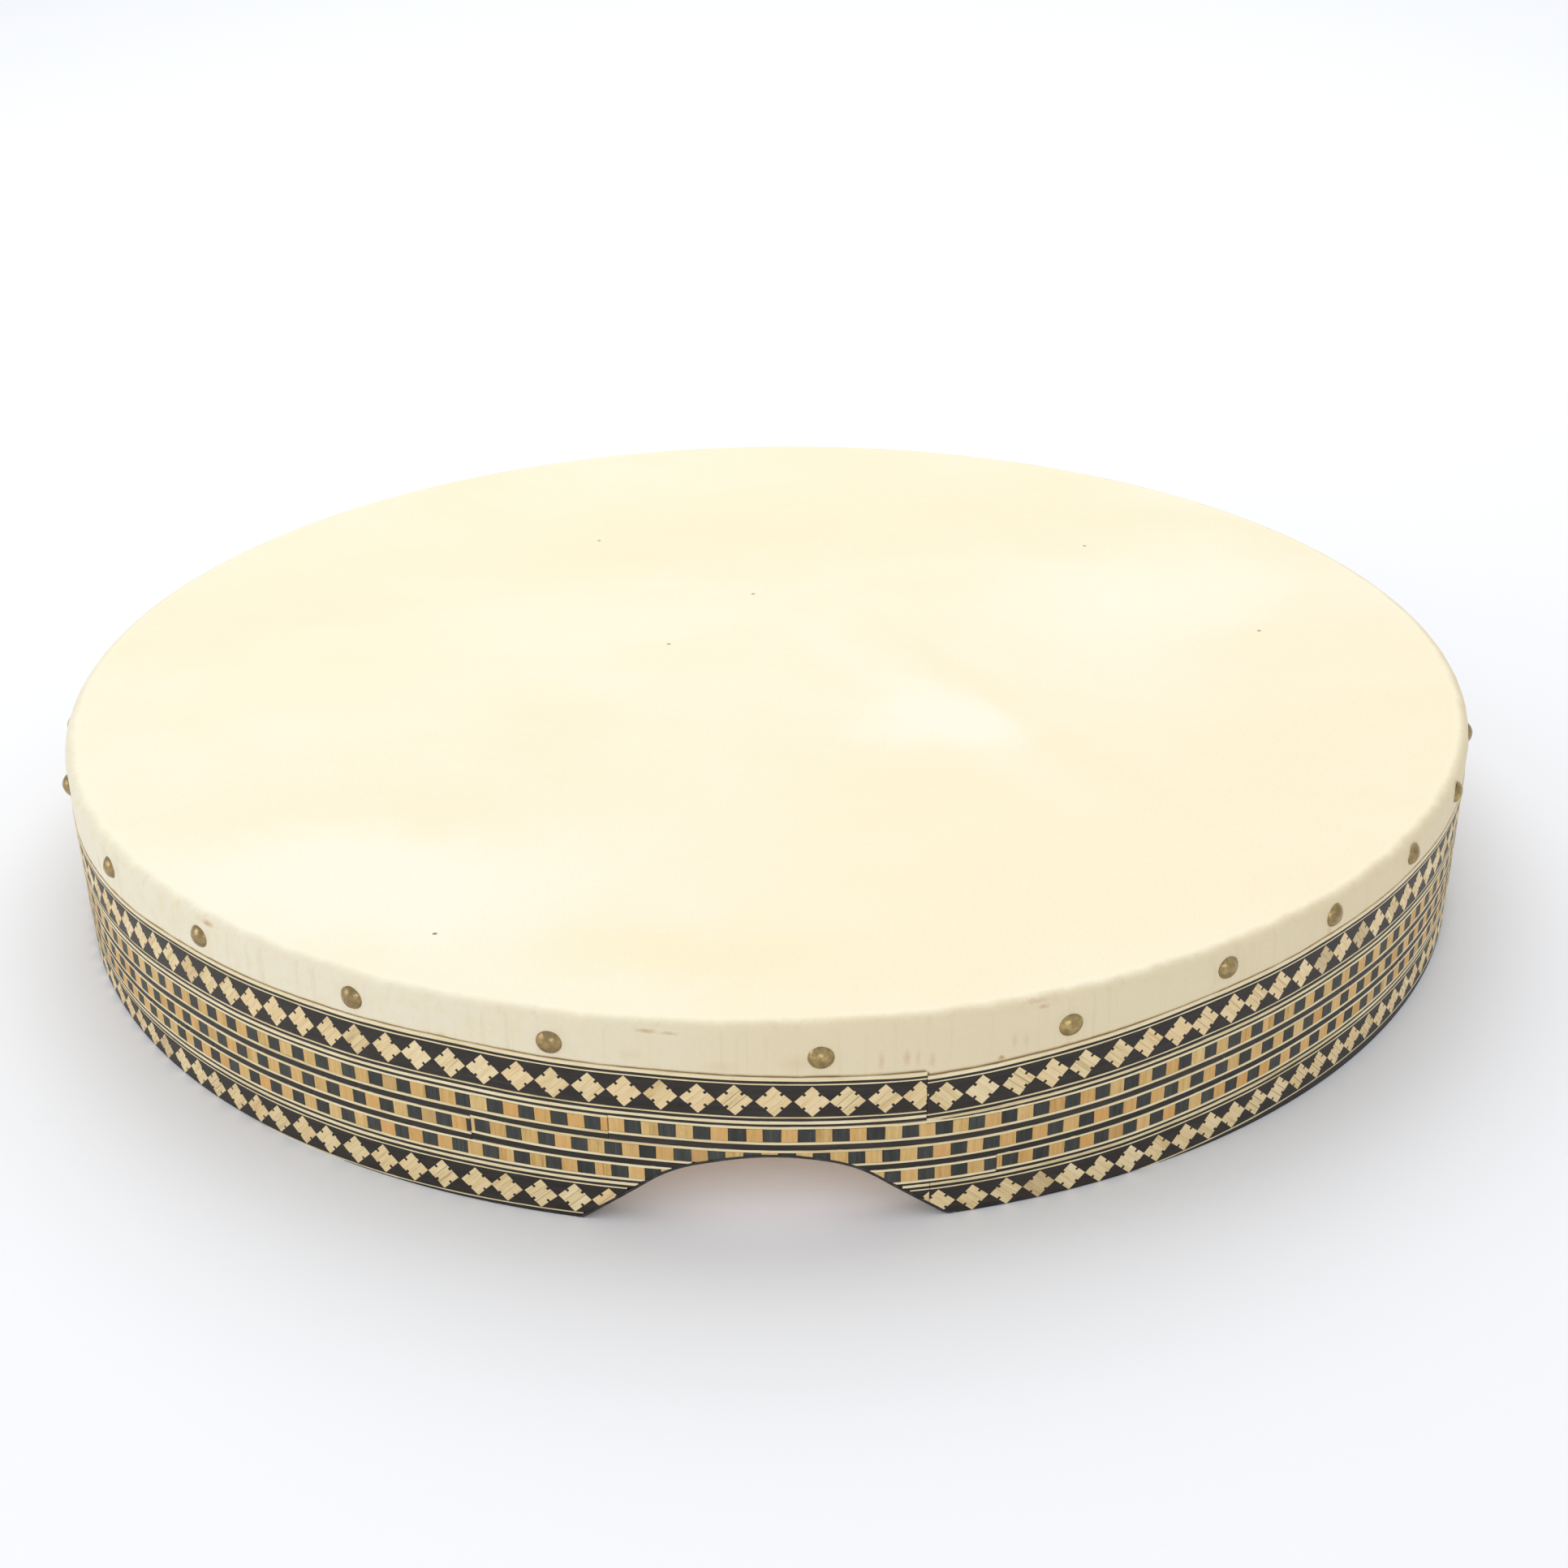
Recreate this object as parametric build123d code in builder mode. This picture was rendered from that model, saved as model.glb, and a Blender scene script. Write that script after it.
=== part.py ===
"""Large frame drum: a bent-wood hoop with a hand notch, a skin head turned down over the rim and
held by brass dome tacks, and strips of wood marquetry glued round the outside of the hoop.

Millimetres, +Z up.  The drum lies on the open rim with the head on top.  The origin is the centre
of the rim's resting plane, and the hand notch is at -Y.
"""

import os
from math import cos, radians, sin, tan

from build123d import *

# ---------------------------------------------------------------- driving dimensions
OUTER_DIAMETER = 558.4      # over the marquetry
DRUM_HEIGHT = 74.4          # resting plane to the top of the head

VENEER = 1.2                # thickness of every marquetry piece
SKIN = 0.9                  # thickness of the head and of its turned-down lap
HOOP_WALL = 8.5
BEARING_ROUND = 3.5         # outer top corner of the hoop, which the skin is pulled over
BEARING_BEVEL = 4.0         # inner top corner, cut away so that the skin rings freely
RIM_EDGE = 0.6              # small bevel round the resting edge of the hoop

SCARF_LENGTH = 40.0         # glued overlap where the two ends of the hoop meet
SCARF_ANGLE = 94.7          # its place round the drum, in degrees, between two tacks
SCARF_SLOPE = 12.0          # angle of the glue line to the wall
GLUE_LINE = 0.15            # width of every glue line and butt seam

# marquetry, from the skin's cut edge downwards
LAP_EDGE_Z = 58.5
EDGE_LINE = 1.4
BLACK_LINE = 0.8
FINE_LINE = 0.7
BORDER_GROUND = 11.3        # black band that carries the lozenges
INNER_BLACK_LINE = 0.9
BROAD_LINE = 1.2
CHECKER_EDGE = 1.0
CHECKER_SQUARE = 4.7
FILLET_HEIGHT = 2.0         # black strip between two checker strips
BOTTOM_FINE_LINE = 0.6
BOTTOM_BLACK_LINE = 0.8

CHECKER_PAIRS = 167         # dark and light squares in one turn
DARK_SHARE = 0.5            # share of a pair's width taken by the dark square
LOZENGES = 158              # lozenges in one turn of a border
LOZENGE_SIDE = 7.6

# hand notch: flanks, shoulders and a low arch, as drawn on the outside of the rim
NOTCH_LEFT_FOOT = -59.4
NOTCH_LEFT_SHOULDER = (-30.0, 22.6)
NOTCH_PEAK = 28.7
NOTCH_RIGHT_SHOULDER = (25.5, 22.8)
NOTCH_RIGHT_FOOT = 54.8
NOTCH_SHOULDER_RADIUS = 40.0
NOTCH_PEAK_RADIUS = 70.0
NOTCH_LEFT_FOOT_RADIUS = 3.0
NOTCH_RIGHT_FOOT_RADIUS = 8.0
NOTCH_EDGING = 0.9          # thin black strip bent into the notch

# brass tacks
TACK_HEAD_RADIUS = 4.1
TACK_DOME_HEIGHT = 2.2
TACK_METAL = 0.5
TACK_SHANK_RADIUS = 0.75
TACK_POINT_LENGTH = 2.5
TACK_SHANK_LENGTH = 7.4     # below the skin's surface
# (angle round the drum, height of the centre): the tacks are set by hand, a little unevenly
TACKS = [
    (-159.2, 66.8), (-145.0, 65.4), (-131.8, 65.8), (-117.6, 66.3), (-103.7, 64.6),
    (-86.8, 62.8), (-70.8, 62.8), (-58.9, 66.9), (-48.5, 67.8), (-37.6, 68.5),
    (-26.6, 68.5), (-14.8, 66.3), (-3.6, 64.8), (9.0, 65.7), (21.4, 65.2),
    (35.2, 66.1), (48.0, 65.4), (60.9, 64.9), (74.8, 65.5), (88.2, 66.0),
    (101.2, 65.1), (114.3, 64.8), (127.1, 65.9), (140.6, 65.4), (152.7, 65.0),
    (165.5, 65.8), (177.6, 65.3), (189.3, 66.1),
]

# ---------------------------------------------------------------- derived dimensions
VENEER_RADIUS = OUTER_DIAMETER / 2
HOOP_RADIUS = VENEER_RADIUS - VENEER
BORE_RADIUS = HOOP_RADIUS - HOOP_WALL
HOOP_HEIGHT = DRUM_HEIGHT - SKIN
LAP_RADIUS = HOOP_RADIUS + SKIN
WALL_MIDDLE = (HOOP_RADIUS + BORE_RADIUS) / 2
SLIP_RADIUS = HOOP_RADIUS + 0.01        # back of the flat slips: squares and lozenges
SLIP = VENEER - 0.07
SLIP_ALIGN = (Align.MIN, Align.CENTER, Align.MIN)
PAIR_ANGLE = 360 / CHECKER_PAIRS
LOZENGE_ANGLE = 360 / LOZENGES

# where the strips of one course begin: the angle of a dark square or lozenge beside the seam
UPPER_BORDER_START = -78.94
CHECKER_STARTS = (-98.6, -108.7, -74.57)
LOWER_BORDER_START = -77.0
# each course is three strips long; the later seams are this many pattern repeats on
CHECKER_SEAM_REPEATS = (0, 57, 112)
BORDER_SEAM_REPEATS = (0, 52, 106)


def polar(radius, angle, z=0.0):
    """The point at this radius and angle in degrees."""
    return (radius * cos(radians(angle)), radius * sin(radians(angle)), z)


def radial_plane(radius, angle, z):
    """A plane that faces straight out of the drum at this radius, angle and height."""
    return Plane(
        origin=polar(radius, angle, z),
        x_dir=polar(1, angle + 90),
        z_dir=polar(1, angle),
    )


def finish(part, name):
    """Labels a finished piece and writes its STEP file."""
    part.label = name
    os.makedirs("parts", exist_ok=True)
    export_step(part, f"parts/{name}.step")


# ---------------------------------------------------------------- the hand notch as a cutting tool
NOTCH_REACH = HOOP_WALL + 30
NOTCH_PLANE = Plane.XZ.offset(VENEER_RADIUS + 5)
NOTCH_WIDTH = NOTCH_RIGHT_FOOT - NOTCH_LEFT_FOOT
NOTCH_MIDDLE = (NOTCH_RIGHT_FOOT + NOTCH_LEFT_FOOT) / 2
FOOT_X = NOTCH_WIDTH / 2 + 25

with BuildSketch(NOTCH_PLANE) as notch_opening:
    with BuildLine():
        arch = FilletPolyline(
            (-FOOT_X, 0),
            (NOTCH_LEFT_FOOT, 0),
            NOTCH_LEFT_SHOULDER,
            (0, NOTCH_PEAK),
            NOTCH_RIGHT_SHOULDER,
            (NOTCH_RIGHT_FOOT, 0),
            (FOOT_X, 0),
            radius=[
                NOTCH_LEFT_FOOT_RADIUS,
                NOTCH_SHOULDER_RADIUS,
                NOTCH_PEAK_RADIUS,
                NOTCH_SHOULDER_RADIUS,
                NOTCH_RIGHT_FOOT_RADIUS,
            ],
        )
        Polyline(arch @ 1, (FOOT_X, -5), (-FOOT_X, -5), arch @ 0)
    make_face()

with BuildSketch(NOTCH_PLANE) as notch_cut:
    add(notch_opening.sketch_local)
    offset(amount=NOTCH_EDGING)
    with Locations((NOTCH_MIDDLE, 25)):
        Rectangle(NOTCH_WIDTH + 4, 60, mode=Mode.INTERSECT)

with BuildPart() as notch_space:
    extrude(notch_cut.sketch, amount=-NOTCH_REACH)


# ---------------------------------------------------------------- hoop
with BuildPart() as rim_hoop:
    with BuildSketch(Plane.XY):
        Circle(HOOP_RADIUS)
        Circle(BORE_RADIUS, mode=Mode.SUBTRACT)
    extrude(amount=HOOP_HEIGHT)
    top_edges = rim_hoop.edges().filter_by(GeomType.CIRCLE).group_by(Axis.Z)[-1]
    inner_top, outer_top = top_edges.sort_by(SortBy.RADIUS)[0], top_edges.sort_by(SortBy.RADIUS)[-1]
    fillet(outer_top, radius=BEARING_ROUND)
    chamfer(inner_top, length=BEARING_BEVEL)
    chamfer(
        rim_hoop.edges().filter_by(GeomType.CIRCLE).group_by(Axis.Z)[0],
        length=RIM_EDGE,
    )
    # the glued scarf: a shallow slanting line through the wall at the back
    with BuildSketch(Plane.XY):
        with Locations(Location(polar(WALL_MIDDLE, SCARF_ANGLE), (0, 0, SCARF_ANGLE + 90 - SCARF_SLOPE))):
            Rectangle(SCARF_LENGTH + 16, GLUE_LINE)
    extrude(amount=HOOP_HEIGHT, mode=Mode.SUBTRACT)
    with Locations(*[radial_plane(LAP_RADIUS, *tack) for tack in TACKS]):
        Cylinder(
            TACK_SHANK_RADIUS,
            2 * TACK_SHANK_LENGTH,
            mode=Mode.SUBTRACT,
        )
    add(notch_space.part, mode=Mode.SUBTRACT)
finish(rim_hoop.part, "rim_hoop")


# ---------------------------------------------------------------- skin head
with BuildPart() as drumhead_skin:
    with BuildSketch(Plane.XZ):
        with BuildLine():
            crown = Line((0, DRUM_HEIGHT), (HOOP_RADIUS - BEARING_ROUND, DRUM_HEIGHT))
            outer_turn = JernArc(crown @ 1, (1, 0), BEARING_ROUND + SKIN, -90)
            Polyline(
                outer_turn @ 1,
                (LAP_RADIUS, LAP_EDGE_Z),
                (HOOP_RADIUS, LAP_EDGE_Z),
                (HOOP_RADIUS, HOOP_HEIGHT - BEARING_ROUND),
            )
            inner_turn = JernArc(
                (HOOP_RADIUS, HOOP_HEIGHT - BEARING_ROUND), (0, 1), BEARING_ROUND, 90
            )
            Polyline(inner_turn @ 1, (0, HOOP_HEIGHT), (0, DRUM_HEIGHT))
        make_face()
    revolve(axis=Axis.Z)
    with Locations(*[radial_plane(LAP_RADIUS, *tack) for tack in TACKS]):
        Cylinder(TACK_SHANK_RADIUS, 4 * SKIN, mode=Mode.SUBTRACT)
finish(drumhead_skin.part, "drumhead_skin")


# ---------------------------------------------------------------- tacks
DOME_RADIUS = (TACK_HEAD_RADIUS**2 + TACK_DOME_HEIGHT**2) / (2 * TACK_DOME_HEIGHT)

with BuildPart() as one_dome:
    with BuildSketch(Plane.XZ):
        with Locations((0, TACK_DOME_HEIGHT - DOME_RADIUS)):
            Circle(DOME_RADIUS)
            Circle(DOME_RADIUS - TACK_METAL, mode=Mode.SUBTRACT)
        with Locations((DOME_RADIUS / 2, DOME_RADIUS / 2)):
            Rectangle(DOME_RADIUS, DOME_RADIUS, mode=Mode.INTERSECT)
    revolve(axis=Axis.Z)

with BuildPart() as one_shank:
    Cylinder(
        TACK_SHANK_RADIUS - 0.02,
        TACK_SHANK_LENGTH - TACK_POINT_LENGTH + TACK_DOME_HEIGHT - TACK_METAL - 0.05,
        align=(Align.CENTER, Align.CENTER, Align.MAX),
    )
    chamfer(one_shank.edges().filter_by(GeomType.CIRCLE).group_by(Axis.Z)[-1], length=0.1)
    bottom_face = one_shank.faces().sort_by(Axis.Z)[0]
    with BuildSketch(Plane(bottom_face.center(), z_dir=(0, 0, -1))):
        Circle(TACK_SHANK_RADIUS - 0.02)
    with BuildSketch(Plane(bottom_face.center() - Vector(0, 0, TACK_POINT_LENGTH), z_dir=(0, 0, -1))):
        Circle(0.15)
    loft()

with BuildPart() as tack_domes:
    with Locations(*[radial_plane(LAP_RADIUS + 0.03, *tack) for tack in TACKS]):
        add(one_dome.part)
finish(tack_domes.part, "tack_domes")

SHANK_TOP = LAP_RADIUS + TACK_DOME_HEIGHT - TACK_METAL - 0.05

with BuildPart() as tack_shanks:
    with Locations(*[radial_plane(SHANK_TOP, *tack) for tack in TACKS]):
        add(one_shank.part)
finish(tack_shanks.part, "tack_shanks")


# ---------------------------------------------------------------- marquetry
def band_face():
    """The plan of the veneer: a thin ring on the outside of the hoop."""
    Circle(VENEER_RADIUS)
    Circle(HOOP_RADIUS, mode=Mode.SUBTRACT)


def cut_seams(seams, low, high):
    """Butt seams between the strips of one course."""
    middle = (low + high) / 2
    with Locations(*[radial_plane(VENEER_RADIUS, angle, middle) for angle in seams]):
        Box(GLUE_LINE, high - low, 4 * VENEER, mode=Mode.SUBTRACT)


def cut_notch(low):
    """Takes the hand notch out of a strip that is low enough to meet it."""
    if low < NOTCH_PEAK:
        add(notch_space.part, mode=Mode.SUBTRACT)


def make_line(name, high, height, seams):
    """One long thin strip of a course, from its upper edge down."""
    with BuildPart() as line:
        with BuildSketch(Plane.XY.offset(high - height)):
            band_face()
        extrude(amount=height)
        cut_seams(seams, high - height, high)
        cut_notch(high - height)
    finish(line.part, name)
    return high - height


def make_squares(name, high, centre_angle, width_angle, seams):
    """Every square of one colour in a checker strip, each a flat slip of veneer."""
    low = high - CHECKER_SQUARE
    width = 2 * SLIP_RADIUS * tan(radians(width_angle / 2))
    with BuildPart() as squares:
        with Locations((0, 0, low)):
            with PolarLocations(SLIP_RADIUS, CHECKER_PAIRS, start_angle=centre_angle):
                Box(SLIP, width, CHECKER_SQUARE, align=SLIP_ALIGN)
        cut_seams(seams, low, high)
        cut_notch(low)
    finish(squares.part, name)


with BuildPart() as one_lozenge:
    with BuildSketch(Plane(origin=(SLIP_RADIUS, 0, 0), x_dir=(0, 1, 0), z_dir=(1, 0, 0))):
        Rectangle(LOZENGE_SIDE, LOZENGE_SIDE, rotation=45)
    extrude(amount=SLIP)

with BuildPart() as lozenge_pocket:
    with BuildSketch(Plane(origin=(HOOP_RADIUS - 1, 0, 0), x_dir=(0, 1, 0), z_dir=(1, 0, 0))):
        Rectangle(LOZENGE_SIDE, LOZENGE_SIDE, rotation=45)
    extrude(amount=VENEER + 2)


def make_border(prefix, high, start_angle, seams):
    """The black ground of a border with its pockets, and the light lozenges that fill them."""
    low = high - BORDER_GROUND
    middle = (high + low) / 2
    with BuildPart() as ground:
        with BuildSketch(Plane.XY.offset(low)):
            band_face()
        extrude(amount=BORDER_GROUND)
        with Locations((0, 0, middle)):
            with PolarLocations(0, LOZENGES, start_angle=start_angle):
                add(lozenge_pocket.part, mode=Mode.SUBTRACT)
        cut_seams(seams, low, high)
        cut_notch(low)
    finish(ground.part, f"{prefix}_ground")
    with BuildPart() as lozenges:
        with Locations((0, 0, middle)):
            with PolarLocations(0, LOZENGES, start_angle=start_angle):
                add(one_lozenge.part)
        cut_notch(low)
    finish(lozenges.part, f"{prefix}_lozenges")
    return low


def course_seams(start_angle, half_repeat, repeat_angle, repeats):
    """Angles of a course's butt seams, each between two repeats of its pattern."""
    return [start_angle - half_repeat + count * repeat_angle for count in repeats]


# upper border
upper_seams = course_seams(
    UPPER_BORDER_START, LOZENGE_ANGLE / 2, LOZENGE_ANGLE, BORDER_SEAM_REPEATS
)
z = LAP_EDGE_Z
z = make_line("upper_edge_line", z, EDGE_LINE, upper_seams)
z = make_line("upper_outer_black_line", z, BLACK_LINE, upper_seams)
z = make_line("upper_outer_fine_line", z, FINE_LINE, upper_seams)
z = make_border("upper_border", z, UPPER_BORDER_START, upper_seams)
z = make_line("upper_inner_fine_line", z, FINE_LINE, upper_seams)
z = make_line("upper_inner_black_line", z, INNER_BLACK_LINE, upper_seams)
z = make_line("upper_broad_line", z, BROAD_LINE, upper_seams)
z = make_line("upper_last_black_line", z, BLACK_LINE, upper_seams)

# three checker strips with a black fillet between them
for number, start in enumerate(CHECKER_STARTS, start=1):
    seams = course_seams(start, PAIR_ANGLE / 4, PAIR_ANGLE, CHECKER_SEAM_REPEATS)
    z = make_line(f"checker_{number}_upper_edge", z, CHECKER_EDGE, seams)
    make_squares(f"checker_{number}_dark_squares", z, start, PAIR_ANGLE * DARK_SHARE, seams)
    make_squares(
        f"checker_{number}_light_squares",
        z,
        start + PAIR_ANGLE / 2,
        PAIR_ANGLE * (1 - DARK_SHARE),
        seams,
    )
    z = make_line(f"checker_{number}_lower_edge", z - CHECKER_SQUARE, CHECKER_EDGE, seams)
    if number < len(CHECKER_STARTS):
        z = make_line(f"black_fillet_{number}", z, FILLET_HEIGHT, seams)

# lower border, the upper one turned over
lower_seams = course_seams(
    LOWER_BORDER_START, LOZENGE_ANGLE / 2, LOZENGE_ANGLE, BORDER_SEAM_REPEATS[1:]
)
z = make_line("lower_first_black_line", z, BLACK_LINE, lower_seams)
z = make_line("lower_broad_line", z, BROAD_LINE, lower_seams)
z = make_line("lower_inner_black_line", z, INNER_BLACK_LINE, lower_seams)
z = make_line("lower_inner_fine_line", z, FINE_LINE, lower_seams)
z = make_border("lower_border", z, LOWER_BORDER_START, lower_seams)
z = make_line("lower_outer_fine_line", z, BOTTOM_FINE_LINE, lower_seams)
z = make_line("lower_outer_black_line", z, BOTTOM_BLACK_LINE, lower_seams)
print(f"marquetry ends {z:.2f} mm above the resting plane")


# ---------------------------------------------------------------- edging of the hand notch
with BuildPart() as notch_edging:
    with BuildSketch(Plane.XY.offset(z)):
        Circle(VENEER_RADIUS)
        Circle(BORE_RADIUS, mode=Mode.SUBTRACT)
    extrude(amount=NOTCH_PEAK)
    extrude(notch_cut.sketch, amount=-NOTCH_REACH, mode=Mode.INTERSECT)
    extrude(notch_opening.sketch, amount=-NOTCH_REACH, mode=Mode.SUBTRACT)
finish(notch_edging.part, "notch_edging")
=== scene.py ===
import math
import random

import bpy
import numpy as np
from mathutils import Matrix, Vector, noise


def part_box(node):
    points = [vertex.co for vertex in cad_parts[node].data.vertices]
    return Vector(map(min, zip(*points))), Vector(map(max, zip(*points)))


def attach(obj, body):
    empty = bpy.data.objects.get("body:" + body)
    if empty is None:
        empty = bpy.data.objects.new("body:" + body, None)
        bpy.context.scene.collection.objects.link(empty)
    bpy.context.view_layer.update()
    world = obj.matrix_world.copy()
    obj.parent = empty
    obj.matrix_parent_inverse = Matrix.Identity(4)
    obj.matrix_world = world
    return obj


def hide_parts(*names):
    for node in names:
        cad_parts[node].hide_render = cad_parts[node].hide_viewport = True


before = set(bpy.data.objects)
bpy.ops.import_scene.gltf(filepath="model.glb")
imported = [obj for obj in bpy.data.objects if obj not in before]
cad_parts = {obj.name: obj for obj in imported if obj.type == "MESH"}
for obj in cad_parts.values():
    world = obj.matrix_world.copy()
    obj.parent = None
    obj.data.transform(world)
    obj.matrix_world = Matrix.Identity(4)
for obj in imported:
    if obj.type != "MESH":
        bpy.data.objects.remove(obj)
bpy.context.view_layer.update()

MM = 0.001
rng = random.Random(29)


# ------------------------------------------------------------------ measures, read from the CAD parts
def levels(node):
    """Bottom and top of a CAD node in mm."""
    low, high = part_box(node)
    return low.z / MM, high.z / MM


VENEER_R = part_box("upper_edge_line")[1].x / MM  # outside of the marquetry
HOOP_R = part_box("rim_hoop")[1].x / MM
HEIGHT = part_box("drumhead_skin")[1].z / MM
LAP_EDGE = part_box("drumhead_skin")[0].z / MM
SKIN = 0.9  # thickness of the skin
LAP_R = HOOP_R + SKIN  # outside of the skin's lap
SHOULDER = 4.4  # radius of the skin's turn over the rim
GLUED_R = HOOP_R - 0.02  # backs of the glued slips, a hair inside the hoop
FOOT = 0.15  # nothing glued on reaches lower
DEGREE = math.degrees(1 / VENEER_R)  # degrees in one mm of wall

FRONT = -90.0  # angle of the hand notch
NOTCH_SPREAD = 25.0  # degrees to each side within which it lies
NOTCH_HALF = 62.0  # and mm to each side
FOOT_BEVEL = 0.65  # top of the bevel round the hoop's foot
NO_NOTCH = -5.0  # given as the notch's top away from it


def outline_of_notch():
    """Points (x, z) in mm along the top of the hand notch's cut, from the CAD hoop's outer edge."""
    points = {}
    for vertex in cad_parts["rim_hoop"].data.vertices:
        p = vertex.co / MM
        at_front = p.y < 0 and abs(p.x) < NOTCH_HALF and p.xy.length > HOOP_R - 0.2
        if at_front and FOOT_BEVEL < p.z < HEIGHT / 2:
            points[round(p.x, 2)] = p.z
    xs = sorted(points)
    return xs, [points[x] for x in xs]


NOTCH_X, NOTCH_Z = outline_of_notch()


def signed(angle):
    """The same angle, between -180 and 180 degrees."""
    return (angle + 180) % 360 - 180


def notch_top(angle):
    """Top of the notch's cut at this angle in degrees, or NO_NOTCH away from it."""
    angle = signed(angle)
    x = VENEER_R * math.cos(math.radians(angle))
    if abs(angle - FRONT) >= NOTCH_SPREAD or not NOTCH_X[0] < x < NOTCH_X[-1]:
        return NO_NOTCH
    return float(np.interp(x, NOTCH_X, NOTCH_Z))


def bump(angle, middle, width):
    """A smooth bell round the drum."""
    return math.exp(-((signed(angle - middle) / width) ** 2))


# The courses were laid by hand, so they dip and rise: (angle, mm at the wall's foot, middle and top)
WAVES = (
    (-158.0, -1.0, -3.0, -4.5), (-146.5, -1.4, -3.4, -2.2), (-135.0, -0.9, 0.0, 1.0),
    (-123.5, -0.7, -1.2, -0.4), (-112.0, -0.2, 1.0, 1.9), (-100.5, 0.7, -0.1, 0.1),
    (-89.0, -0.3, -1.7, -1.4), (-77.5, -3.7, -2.7, -3.5), (-66.0, -0.5, -0.9, 0.0),
    (-54.5, 0.6, 0.6, 0.6), (-43.0, 1.6, 1.6, 2.5), (-31.5, 0.7, 0.4, 1.5),
    (20.0, 0.3, 0.5, 0.6), (75.0, -0.5, -0.9, -1.2), (140.0, 0.4, 0.6, 0.9),
)
WAVE_WIDTH = 11.5  # degrees
WAVE_LEVELS = (2.0, 28.0, 57.0)  # heights of the foot, middle and top
LOWEST_DIP = -1.7  # the foot dips no further, or it would meet the floor


def wave_at(angle, level):
    """Dip or rise in mm at this angle, for one of the three levels."""
    wave = sum(row[level + 1] * bump(angle, row[0], WAVE_WIDTH) for row in WAVES)
    return max(wave, LOWEST_DIP) if level == 0 else wave


WAVE_TABLE = [[wave_at(angle, level) for level in range(3)] for angle in range(-180, 182)]


def sag(angle, z):
    """How far a course stands above its nominal height at this angle, in mm."""
    angle = (angle + 180) % 360
    left = int(angle)
    part = angle - left
    foot, middle, top = (p + part * (q - p) for p, q in zip(WAVE_TABLE[left], WAVE_TABLE[left + 1]))
    low, mid, high = WAVE_LEVELS
    if z < mid:
        wave = foot + (middle - foot) * max(z - low, 0.0) / (mid - low)
    else:
        wave = middle + (top - middle) * (min(z, high) - mid) / (high - mid)
    # two ripples on top, less towards the foot
    long = 0.25 * math.sin(math.radians((angle - 180) * 11))
    short = 0.12 * math.sin(math.radians((angle - 180) * 29 + 40))
    ripple = long + short
    return wave + ripple * min(max(z / LAP_EDGE, 0.0), 1.0) ** 0.7


def place(angle, z, radius, lift=0.0):
    """A point in metres on the wall, at this angle and nominal height, moved with its course."""
    z += sag(angle, z) + lift
    turn = math.radians(angle)
    return (radius * math.cos(turn) * MM, radius * math.sin(turn) * MM, z * MM)


# ------------------------------------------------------------------ meshes with grain coordinates
def add_object(mesh, material):
    """An object of this mesh in this material."""
    mesh.materials.append(material)
    mesh.update()
    piece = bpy.data.objects.new(mesh.name, mesh)
    bpy.context.scene.collection.objects.link(piece)
    return piece


class Maker:
    """Gathers faces for one piece, with grain coordinates (a UV map) and tones (a colour) for each."""

    def __init__(self):
        self.verts, self.faces, self.grains, self.tones = [], [], [], []

    def face(self, corners, grains, tone):
        self.faces.append(corners)
        self.grains.extend(grains)
        self.tones.extend([tone] * len(corners))

    def build(self, name, material, node, slot):
        mesh = bpy.data.meshes.new(name)
        mesh.from_pydata(self.verts, [], self.faces)
        uv = mesh.uv_layers.new(name="grain")
        uv.data.foreach_set("uv", [c for g in self.grains for c in g])
        colour = mesh.color_attributes.new(name="tone", type="FLOAT_COLOR", domain="CORNER")
        colour.data.foreach_set("color", [c for t in self.tones for c in (*t, 1.0)])
        mesh.polygons.foreach_set("use_smooth", [False] * len(mesh.polygons))
        mesh.validate(clean_customdata=False)
        piece = add_object(mesh, material)
        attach(piece, "root")
        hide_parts(node)


def clip(outline, a, z, na, nz):
    """Keeps the part of a flat outline on the (na, nz) side of the line through (a, z)."""
    kept = []
    for here, there in zip(outline, outline[1:] + outline[:1]):
        d0 = (here[0] - a) * na + (here[1] - z) * nz
        d1 = (there[0] - a) * na + (there[1] - z) * nz
        if d0 >= 0:
            kept.append(here)
        if (d0 >= 0) != (d1 >= 0):
            t = d0 / (d0 - d1)
            kept.append((here[0] + t * (there[0] - here[0]), here[1] + t * (there[1] - here[1])))
    return kept


def area(outline):
    """Area inside an outline that runs anticlockwise."""
    return sum(p[0] * q[1] - q[0] * p[1] for p, q in zip(outline, outline[1:] + outline[:1])) / 2


def inset(outline, amount):
    """The outline moved inwards, by mitring each corner."""
    out = []
    n = len(outline)
    for i in range(n):
        p, q, r = (Vector(outline[j % n]) for j in (i - 1, i, i + 1))
        u, v = (q - p).normalized(), (r - q).normalized()
        nu, nv = Vector((-u.y, u.x)), Vector((-v.y, v.x))
        m = nu + nv
        m = m / max(m.length_squared, 0.5) * 2 * amount
        out.append((q.x + m.x, q.y + m.y))
    return out


SLOPE_REACH = 0.3  # degrees to each side over which its slope is taken


def notch_clip(outline):
    """Cuts an outline, in mm round the wall and up it, along the hand notch."""
    middle = sum(p[0] for p in outline) / len(outline)
    angle = middle * DEGREE
    low, high = notch_top(angle - SLOPE_REACH), notch_top(angle + SLOPE_REACH)
    if min(low, high) > NO_NOTCH:
        slope = (high - low) / (2 * SLOPE_REACH / DEGREE)
        length = math.hypot(1, slope)
        z = (low + high) / 2
        z -= sag(angle, z)
        outline = clip(outline, middle, z, -slope / length, 1 / length)
    return outline


NEAREST = 0.04  # corners closer than this are one, in mm
SMALLEST_SLIP = 0.15  # in square mm
SMALLEST_FACE = 0.02


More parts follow.
